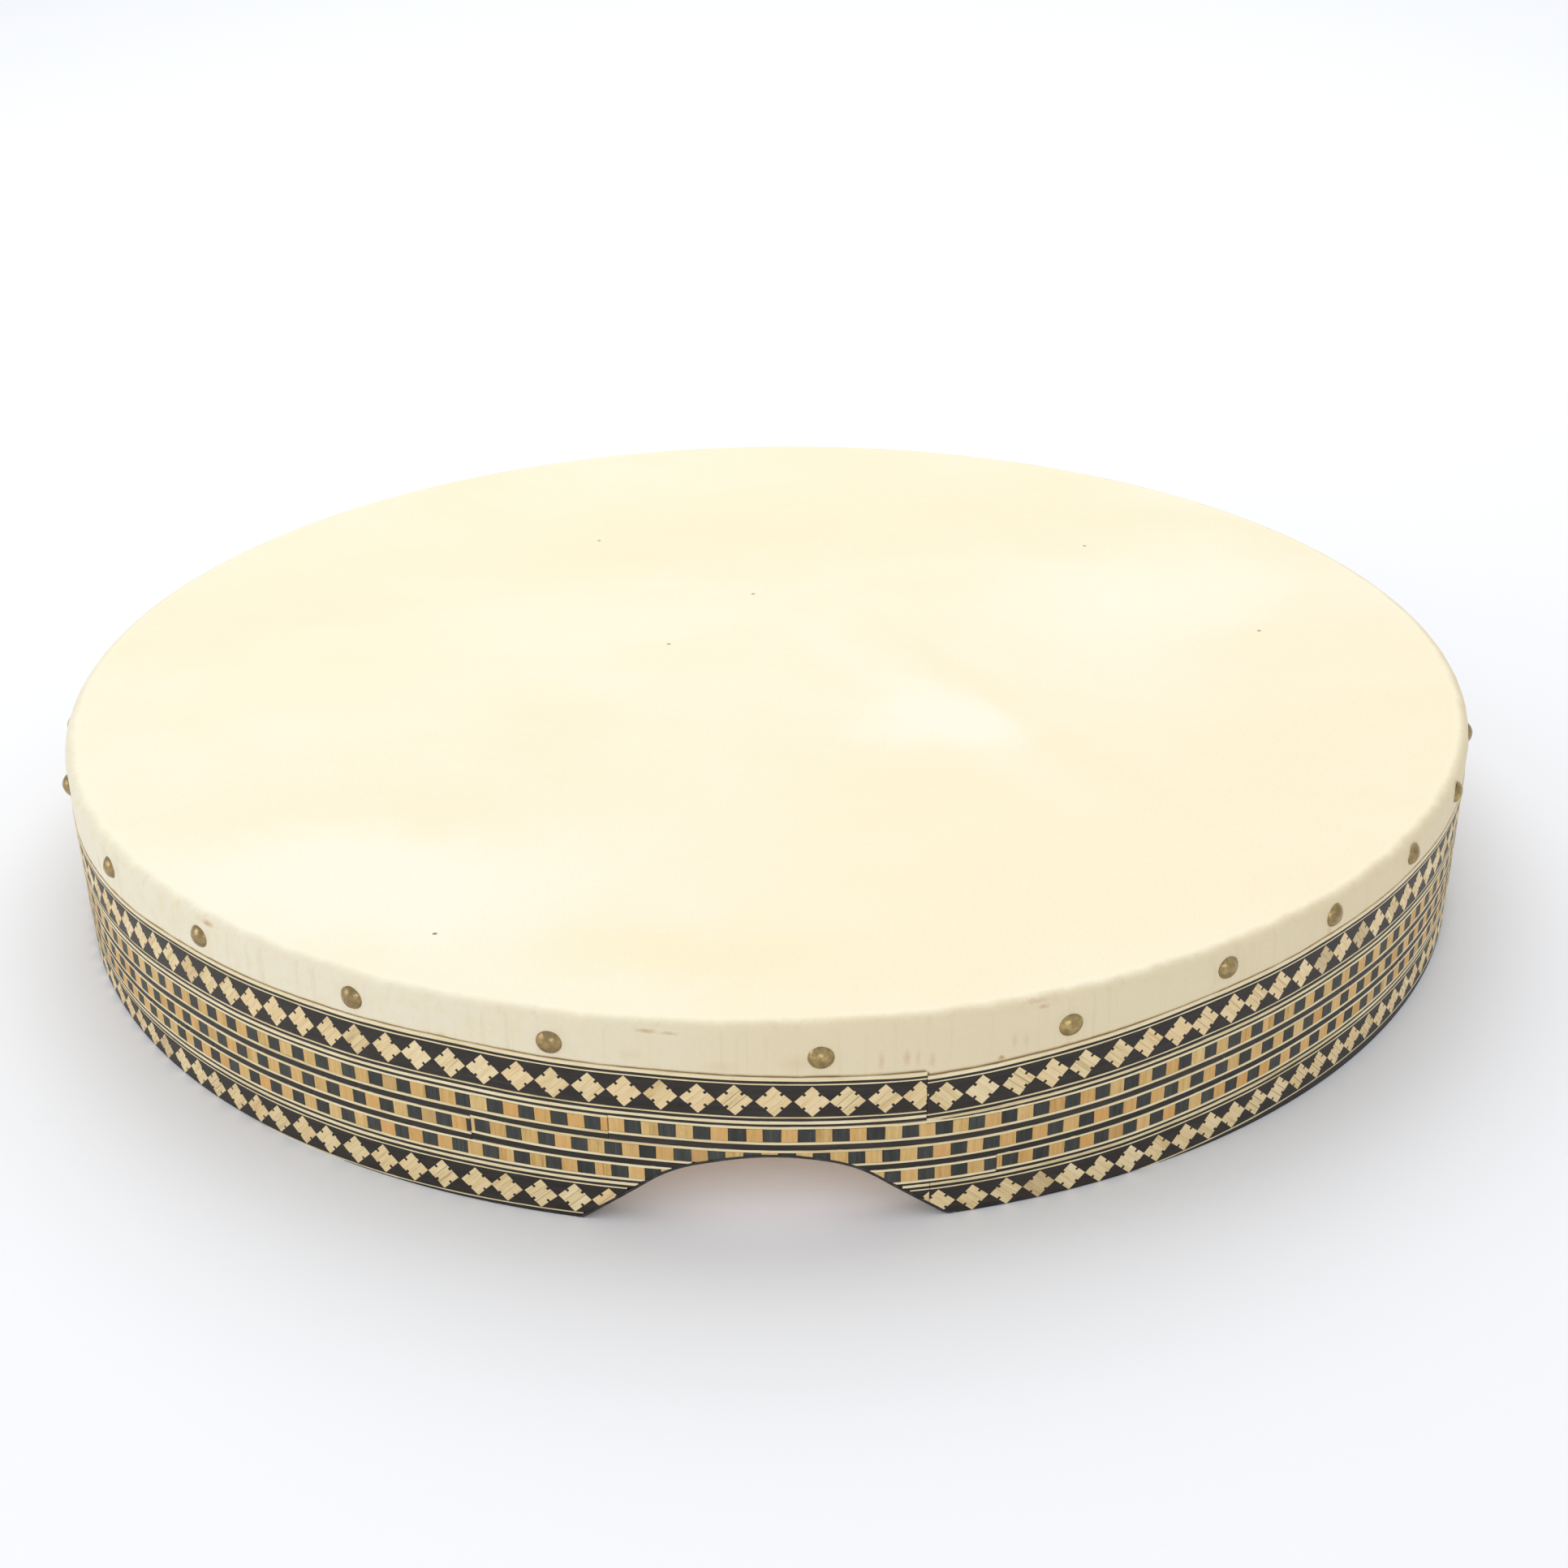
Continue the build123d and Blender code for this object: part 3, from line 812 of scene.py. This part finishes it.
# Marks on lap and shoulder: (degrees from the front, mm up, half width and height in mm, strength)
BROWN_MARKS = (
    (6.9, 60.0, 0.5, 3.4, 0.32), (8.5, 60.4, 0.6, 3.0, 0.38), (9.2, 60.0, 0.4, 3.2, 0.25),
    (10.1, 58.6, 0.6, 2.6, 0.3), (15.4, 61.2, 0.5, 3.6, 0.22), (16.2, 60.8, 0.5, 3.0, 0.18),
    (-7.5, 71.6, 2.2, 0.45, 0.6), (-6.1, 71.3, 1.9, 0.35, 0.5), (-40.7, 72.2, 2.0, 0.7, 0.75),
    (16.8, 73.2, 2.6, 0.4, 0.35), (17.3, 71.5, 1.2, 0.5, 0.5), (14.6, 55.9, 0.6, 0.8, 0.9),
    (-21.0, 60.5, 1.2, 1.0, 0.25), (-8.6, 63.0, 2.5, 2.0, 0.12), (1.5, 61.0, 3.0, 3.0, 0.16),
    (-3.0, 60.0, 4.0, 2.0, 0.14), (41.0, 62.0, 0.7, 3.0, 0.3), (-58.0, 61.0, 0.8, 3.2, 0.25),
    (120.0, 62.0, 0.8, 3.0, 0.35), (-140.0, 61.5, 0.8, 2.8, 0.3),
)
# Patches of the head: (x, y and half sizes in m, colour, strength)
HEAD_PATCHES = (
    (-0.060, 0.135, 0.120, 0.085, (1.0, 0.83, 0.55), 0.55),
    (0.010, 0.165, 0.100, 0.050, (1.0, 0.83, 0.55), 0.40),
    (-0.150, -0.185, 0.110, 0.075, (0.95, 0.97, 0.83), 0.60),
    (-0.020, -0.243, 0.085, 0.030, (0.95, 0.84, 0.55), 0.70),
    (0.076, -0.066, 0.060, 0.040, (1.0, 0.94, 0.78), 0.60),
    (-0.170, -0.020, 0.100, 0.070, (1.0, 0.86, 0.58), 0.35),
    (0.180, 0.060, 0.090, 0.090, (1.0, 0.95, 0.76), 0.40),
    (0.110, -0.190, 0.120, 0.060, (1.0, 0.86, 0.60), 0.45),
)
# Small dark specks of the head, and the line of the backbone across it, in metres
SPECKS = (
    (-0.079, 0.135), (-0.106, -0.223), (-0.041, 0.009), (-0.006, 0.064), (0.207, 0.014), (0.148, 0.118),
)
SPECK_SIZE, SPECK_COLOUR = (0.0011, 0.0009), (0.16, 0.10, 0.05)
SPINE_START, SPINE_END = Vector((0.024, 0.076)), Vector((0.175, -0.201))
# the second colour darkens the lap's cut edge: partly its own dirt, partly painted shadow under the edge
MARK_COLOUR, EDGE_DIRT_AND_SHADOW = (0.52, 0.29, 0.10), (0.30, 0.18, 0.07)  # brown marks and cut edge


def hide_material():
    """Stretched rawhide: cream, cloudy, with the line of the backbone, small marks and a fine fibre."""
    m = Nodes("hide")
    at = m.place()
    x, y, z = m.parts(at)
    radius = m.radius(x, y)
    drift = m.noise(at, 14.0, 5.0, 0.62, output="Color")
    shifted = m.vector("SUBTRACT", at, (0.045, 0.045, 0.0))
    cloudy = m.vector("MULTIPLY_ADD", drift, (0.09, 0.09, 0.0), shifted)
    clouds = m.noise(m.scaled(at, 4.0, 5.5, 4.0), 1.0, 6.0, 0.6, 0.3)
    colour = m.mix(m.ramp(clouds, 0.3, 0.7), (0.965, 0.895, 0.69), (0.97, 0.845, 0.59))
    for px, py, sx, sy, shade, strength in HEAD_PATCHES:
        colour = m.tint(colour, shade, m.blob(cloudy, (px, py), (sx, sy), 0.15), strength)

    # the line of the backbone, with a paler band beside it; both wander a little
    along = (SPINE_END - SPINE_START).normalized()
    middle = (SPINE_START + SPINE_END) / 2
    steady = m.vector("MULTIPLY_ADD", at, (0.7, 0.7, 0.7), m.vector("MULTIPLY", cloudy, (0.3, 0.3, 0.3)))
    turned = m.new("ShaderNodeVectorRotate", rotation_type="Z_AXIS")
    m.link(steady, turned.inputs["Vector"])
    turned.inputs["Center"].default_value = (middle.x, middle.y, 0)
    turned.inputs["Angle"].default_value = -math.atan2(along.y, along.x)
    spine = m.blob(turned.outputs[0], middle, (0.19, 0.012), 0.1)
    beside = m.blob(turned.outputs[0], (middle.x - 0.02, middle.y - 0.028), (0.15, 0.022), 0.1)
    colour = m.tint(colour, (1.0, 0.95, 0.80), beside, 0.25)
    colour = m.tint(colour, (0.97, 0.82, 0.56), spine, 0.36)

    # fibre, mottle, pores and specks
    fibre = m.noise(m.scaled(at, 900.0, 260.0, 500.0), 1.0, 4.0, 0.65)
    mottle = m.noise(at, 190.0, 4.0, 0.65)
    pores = m.noise(at, 1500.0, 2.0, 0.5)
    colour = m.tint(colour, (0.93, 0.80, 0.56), m.ramp(fibre, 0.5, 0.8), 0.22)
    colour = m.tint(colour, (1.0, 0.95, 0.80), m.ramp(mottle, 0.5, 0.8), 0.18)
    for px, py in SPECKS:
        colour = m.tint(colour, SPECK_COLOUR, m.blob(at, (px, py), SPECK_SIZE, 0.5), 0.85)

    # the lap, paler at the left with painted light from that side, and a painted highlight at the head's
    # edge where it ends over the shoulder
    lit_lap = m.mix(m.ramp(clouds, 0.3, 0.7), (0.84, 0.78, 0.62), (0.83, 0.75, 0.56))
    shaded_lap = m.mix(m.ramp(clouds, 0.3, 0.7), (0.80, 0.70, 0.49), (0.79, 0.66, 0.43))
    # painted light: the lap is lighter towards the left, the side the light falls from
    lap = m.mix(m.ramp(x, -0.22, 0.08), lit_lap, shaded_lap)
    lap = m.tint(lap, (0.80, 0.69, 0.44), m.ramp(mottle, 0.45, 0.7), 0.5)
    streaks = m.noise(m.scaled(at, 320.0, 320.0, 16.0), 1.0, 4.0, 0.6)
    lap = m.tint(lap, (0.66, 0.52, 0.31), m.ramp(streaks, 0.52, 0.75), 0.3)
    stray = m.math("SUBTRACT", m.noise(at, 60.0, 6.0, 0.75), 0.5)
    uneven = m.math("ADD", radius, m.math("MULTIPLY", stray, 0.006))
    rim = m.ramp(uneven, (LAP_R - 5.2) * MM, (LAP_R - 0.9) * MM)
    # painted highlight: a pale band on the head just before it turns over the shoulder
    outermost = m.ramp(radius, (LAP_R - 7) * MM, (LAP_R - 4) * MM)
    shoulder_highlight = m.math("MULTIPLY", outermost, m.math("SUBTRACT", 1.0, rim))
    colour = m.tint(colour, (1.0, 0.93, 0.72), shoulder_highlight, 0.35)
    colour = m.mix(rim, colour, lap)

    # brown marks, laid out in mm round the wall from the front and up it, and the cut edge darkened,
    # partly with dirt and partly with painted shadow
    turn = m.math("ARCTAN2", x, m.math("MULTIPLY", y, -1.0))
    wall = m.whole(m.math("MULTIPLY", turn, LAP_R), m.math("DIVIDE", z, MM))
    ragged = m.vector("MULTIPLY_ADD", m.noise(at, 900.0, 2.0, 0.5, output="Color"), (1.2, 1.2, 0), wall)
    for degrees, height, wide, tall, strength in BROWN_MARKS:
        centre = (math.radians(degrees) * LAP_R + 0.6, height + 0.6)
        mark = m.blob(ragged, centre, (wide * 1.9 + 0.5, tall * 1.3 + 0.3))
        colour = m.tint(colour, MARK_COLOUR, mark, strength)
    edge = m.new("ShaderNodeAttribute", attribute_name="lap_edge").outputs["Fac"]
    patchy = m.ramp(m.noise(at, 70.0, 3.0, 0.6), 0.3, 0.6, 0.35, 0.95)
    # dirt and painted shadow: the lap's cut edge darkened in patches
    colour = m.tint(colour, EDGE_DIRT_AND_SHADOW, m.ramp(edge, 0.2, 0.8), patchy)
    height = m.math("ADD", m.math("MULTIPLY", fibre, 0.6), m.math("MULTIPLY", mottle, 0.8))
    height = m.math("ADD", height, m.math("MULTIPLY", pores, 0.25))
    rough = m.math("ADD", m.math("MULTIPLY", mottle, 0.2), 0.44)
    return m.finish(colour, rough, m.bump(height, 0.00035, 0.6), specular=0.35)


skin_head()


# ------------------------------------------------------------------ tacks
TACK_GAP = 2.0  # degrees; points nearer than this share a tack
TACK_REACH, TACK_DOME = 4.1, 2.2  # radius and height of a domed head, in mm
TACK_TILT = 0.04  # radians
TACK_SIDES, TACK_RINGS = 28, 8


def tack_centres():
    """(angle in degrees, height in mm) of each CAD tack head."""
    points = sorted(
        (math.degrees(math.atan2(v.co.y, v.co.x)), v.co.z / MM)
        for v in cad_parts["tack_domes"].data.vertices
    )
    groups, current = [], [points[0]]
    for p in points[1:]:
        if p[0] - current[-1][0] > TACK_GAP:
            groups.append(current)
            current = []
        current.append(p)
    groups.append(current)
    if groups[0][0][0] + 360 - groups[-1][-1][0] < TACK_GAP:
        groups[0] += [(a - 360, z) for a, z in groups.pop()]
    centres = []
    for group in groups:
        angles, heights = zip(*group)
        centres.append(((min(angles) + max(angles)) / 2, (min(heights) + max(heights)) / 2))
    return centres


def tack_heads():
    """Domed brass heads, each a little tilted and dented, with the rim turned under."""
    verts, faces = [], []
    ball = (TACK_REACH * TACK_REACH + TACK_DOME * TACK_DOME) / (2 * TACK_DOME)
    limit = math.asin(TACK_REACH / ball)
    rows = []  # (radius, height above the rim) in mm, from the top outwards and under
    for k in range(1, TACK_RINGS + 1):
        t = limit * k / TACK_RINGS
        rows.append((ball * math.sin(t), ball * math.cos(t) - (ball - TACK_DOME)))
    rows += [(TACK_REACH + 0.03, -0.12), (TACK_REACH - 0.35, -0.16)]
    rows += [(TACK_REACH - 0.6, 0.05), (TACK_REACH * 0.5, TACK_DOME * 0.55)]
    for angle, z in tack_centres():
        turn = math.radians(angle)
        out = Vector((math.cos(turn), math.sin(turn), 0))
        side = Vector((-math.sin(turn), math.cos(turn), 0))
        tilt = Matrix.Rotation(jitter(TACK_TILT), 3, side)
        tilt = tilt @ Matrix.Rotation(jitter(TACK_TILT), 3, (0, 0, 1))
        centre = out * (LAP_R - 0.12) + Vector((0, 0, z))
        seed = rng.uniform(0, 100)
        base = len(verts)
        verts.append(centre + tilt @ (out * TACK_DOME))
        for r, h in rows:
            for i in range(TACK_SIDES):
                t = 2 * math.pi * i / TACK_SIDES
                spot = Vector((r * 0.5 * math.cos(t), r * 0.5 * math.sin(t), seed))
                dent = noise.noise(spot) * 0.12 * (r < TACK_REACH)
                wide = r * (1 + 0.012 * math.sin(2 * t + seed))
                at = side * wide * math.cos(t) + Vector((0, 0, wide * math.sin(t))) + out * (h + dent)
                verts.append(centre + tilt @ at)
        for i in range(TACK_SIDES):
            j = (i + 1) % TACK_SIDES
            faces.append((base, base + 1 + i, base + 1 + j))
            for k in range(len(rows) - 1):
                a = base + 1 + k * TACK_SIDES
                faces.append((a + i, a + TACK_SIDES + i, a + TACK_SIDES + j, a + j))
        last = base + 1 + (len(rows) - 1) * TACK_SIDES
        faces.append([last + i for i in range(TACK_SIDES)])
    mesh = bpy.data.meshes.new("tack_heads")
    mesh.from_pydata([v * MM for v in verts], [], faces)
    mesh.polygons.foreach_set("use_smooth", [True] * len(mesh.polygons))
    piece = add_object(mesh, brass_material())
    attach(piece, "root")
    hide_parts("tack_domes")


def brass_material():
    """Brass gone dull and brown, not the same on every tack."""
    m = Nodes("aged_brass")
    at = m.place()
    patina = m.noise(at, 420.0, 4.0, 0.6)
    spots = m.noise(at, 1300.0, 3.0, 0.6)
    each = m.noise(at, 18.0, 1.0, 0.5)
    colour = m.mix(m.ramp(patina, 0.35, 0.65), (0.47, 0.35, 0.15), (0.29, 0.21, 0.10))
    colour = m.tint(colour, (0.28, 0.19, 0.11), m.ramp(each, 0.4, 0.6), 0.4)
    colour = m.tint(colour, (0.12, 0.08, 0.05), m.ramp(spots, 0.6, 0.75), 0.5)
    rough = m.math("ADD", m.math("MULTIPLY", patina, 0.25), 0.16)
    return m.finish(colour, rough, m.bump(spots, 0.00008, 0.6), metallic=1.0)


tack_heads()


# ------------------------------------------------------------------ CAD pieces that stay
def hoop_material():
    """Steam-bent wood with its grain round the hoop."""
    m = Nodes("bent_wood")
    at = m.place()
    x, y, z = m.parts(at)
    turn = m.math("ARCTAN2", y, x)
    grain = m.whole(m.math("MULTIPLY", turn, 0.28), m.radius(x, y), z)
    fine = m.noise(m.scaled(grain, 30.0, 900.0, 1100.0), 1.0, 4.0, 0.6)
    broad = m.noise(m.scaled(grain, 6.0, 120.0, 130.0), 1.0, 3.0, 0.5)
    colour = m.mix(m.ramp(broad, 0.3, 0.7), (0.52, 0.33, 0.17), (0.68, 0.49, 0.29))
    colour = m.tint(colour, (0.36, 0.21, 0.10), m.ramp(fine, 0.5, 0.75), 0.5)
    rough = m.math("ADD", m.math("MULTIPLY", fine, 0.2), 0.45)
    return m.finish(colour, rough, m.bump(fine, 0.0001, 0.6))


def edging_material():
    """Near-black wood, lightly worn, round the hand notch."""
    m = Nodes("edging_wood")
    at = m.place()
    fine = m.noise(m.scaled(at, 300.0, 900.0, 700.0), 1.0, 4.0, 0.6)
    colour = m.mix(m.ramp(fine, 0.4, 0.7), (0.010, 0.009, 0.011), (0.045, 0.038, 0.036))
    rough = m.math("ADD", m.math("MULTIPLY", fine, 0.25), 0.3)
    return m.finish(colour, rough, m.bump(fine, 0.00015, 0.7))


def steel_material():
    """Plain steel of the tacks' shanks."""
    m = Nodes("tack_steel")
    at = m.place()
    fine = m.noise(at, 900.0, 3.0, 0.6)
    colour = m.mix(m.ramp(fine, 0.4, 0.7), (0.42, 0.41, 0.40), (0.30, 0.26, 0.22))
    return m.finish(colour, m.math("ADD", m.math("MULTIPLY", fine, 0.3), 0.25), metallic=1.0)


CAD_MATERIALS = {
    "rim_hoop": hoop_material(), "notch_edging": edging_material(), "tack_shanks": steel_material(),
}
for kept_node, kept_material in CAD_MATERIALS.items():
    kept_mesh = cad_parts[kept_node].data
    kept_mesh.materials.clear()
    kept_mesh.materials.append(kept_material)

# ------------------------------------------------------------------ floor, light and camera
floor_mesh = bpy.data.meshes.new("floor")
floor_mesh.from_pydata([(-6, -4, 0), (6, -4, 0), (6, 9, 0), (-6, 9, 0)], [], [(0, 1, 2, 3)])
floor = add_object(floor_mesh, Nodes("paper").finish((0.94, 0.945, 0.965, 1.0), 0.8))

bpy.context.scene.view_settings.view_transform = "Standard"

world = bpy.data.worlds.new("studio")
bpy.context.scene.world = world
world.use_nodes = True
sky = world.node_tree.nodes["Background"]
sky.inputs["Color"].default_value = (0.94, 0.965, 1.0, 1.0)
sky.inputs["Strength"].default_value = 0.77


def softbox(name, at, target, width, depth, power, tint=(1.0, 0.985, 0.955)):
    """A rectangular lamp, in metres and watts, that the camera itself doesn't see."""
    light = bpy.data.lights.new(name, "AREA")
    light.shape = "RECTANGLE"
    light.size, light.size_y = width, depth
    light.energy = power
    light.color = tint
    lamp = bpy.data.objects.new(name, light)
    lamp.location = at
    lamp.rotation_mode = "QUATERNION"
    lamp.rotation_quaternion = (Vector(target) - Vector(at)).to_track_quat("-Z", "Y")
    lamp.visible_camera = False
    bpy.context.scene.collection.objects.link(lamp)


softbox("key", (-0.1, 0.9, 1.9), (0, 0.1, 0), 1.8, 1.8, 12.5)
softbox("left", (-1.8, -0.6, 0.6), (0, -0.1, 0.03), 1.0, 0.8, 5.0)
softbox("front", (0.1, -2.3, 0.6), (0, -0.2, 0.0), 1.2, 0.6, 4.5)
softbox("back", (0, 3.2, 2.4), (0, 3.2, 0.0), 3.5, 2.5, 26)
# daylight that comes through the skin and in by the notch
softbox("through_skin", (0, 0, 0.070), (0, 0, 0), 0.36, 0.36, 0.110, (1.0, 0.66, 0.32))
softbox("inner_bounce", (0, -0.267, 0.032), (0, -0.275, 0.0), 0.09, 0.012, 0.0078, (0.98, 0.96, 1.0))

ELEVATION = 0.482861  # radians above the floor
DISTANCE = 0.89109  # metres from the drum's centre on the floor
TURN = math.radians(0.3)  # how far round the drum the camera stands
PAN, TIP, ROLL = -0.00714915, 0.0125239, 0.0175256  # radians that it looks off the centre
LENS, SENSOR = 47.517, 36.0  # mm


def aimed_camera():
    """The camera on the drum's front, a little above it, turned slightly off its centre."""
    at = Vector((0, -DISTANCE * math.cos(ELEVATION), DISTANCE * math.sin(ELEVATION)))
    ahead = Vector((0, math.cos(ELEVATION), -math.sin(ELEVATION)))
    right = Vector((1, 0, 0))
    up = right.cross(ahead)
    pan = Matrix.Rotation(PAN, 3, up)
    ahead, right = pan @ ahead, pan @ right
    tip = Matrix.Rotation(TIP, 3, right)
    ahead, up = tip @ ahead, tip @ up
    roll = Matrix.Rotation(ROLL, 3, ahead)
    right, up = roll @ right, roll @ up
    about = Matrix.Rotation(TURN, 3, "Z")
    at, ahead, right, up = about @ at, about @ ahead, about @ right, about @ up
    lens = bpy.data.cameras.new("camera")
    lens.sensor_width = SENSOR
    lens.lens = LENS
    camera = bpy.data.objects.new("camera", lens)
    camera.matrix_world = Matrix((
        (right.x, up.x, -ahead.x, at.x),
        (right.y, up.y, -ahead.y, at.y),
        (right.z, up.z, -ahead.z, at.z),
        (0, 0, 0, 1),
    ))
    bpy.context.scene.collection.objects.link(camera)
    bpy.context.scene.camera = camera


aimed_camera()
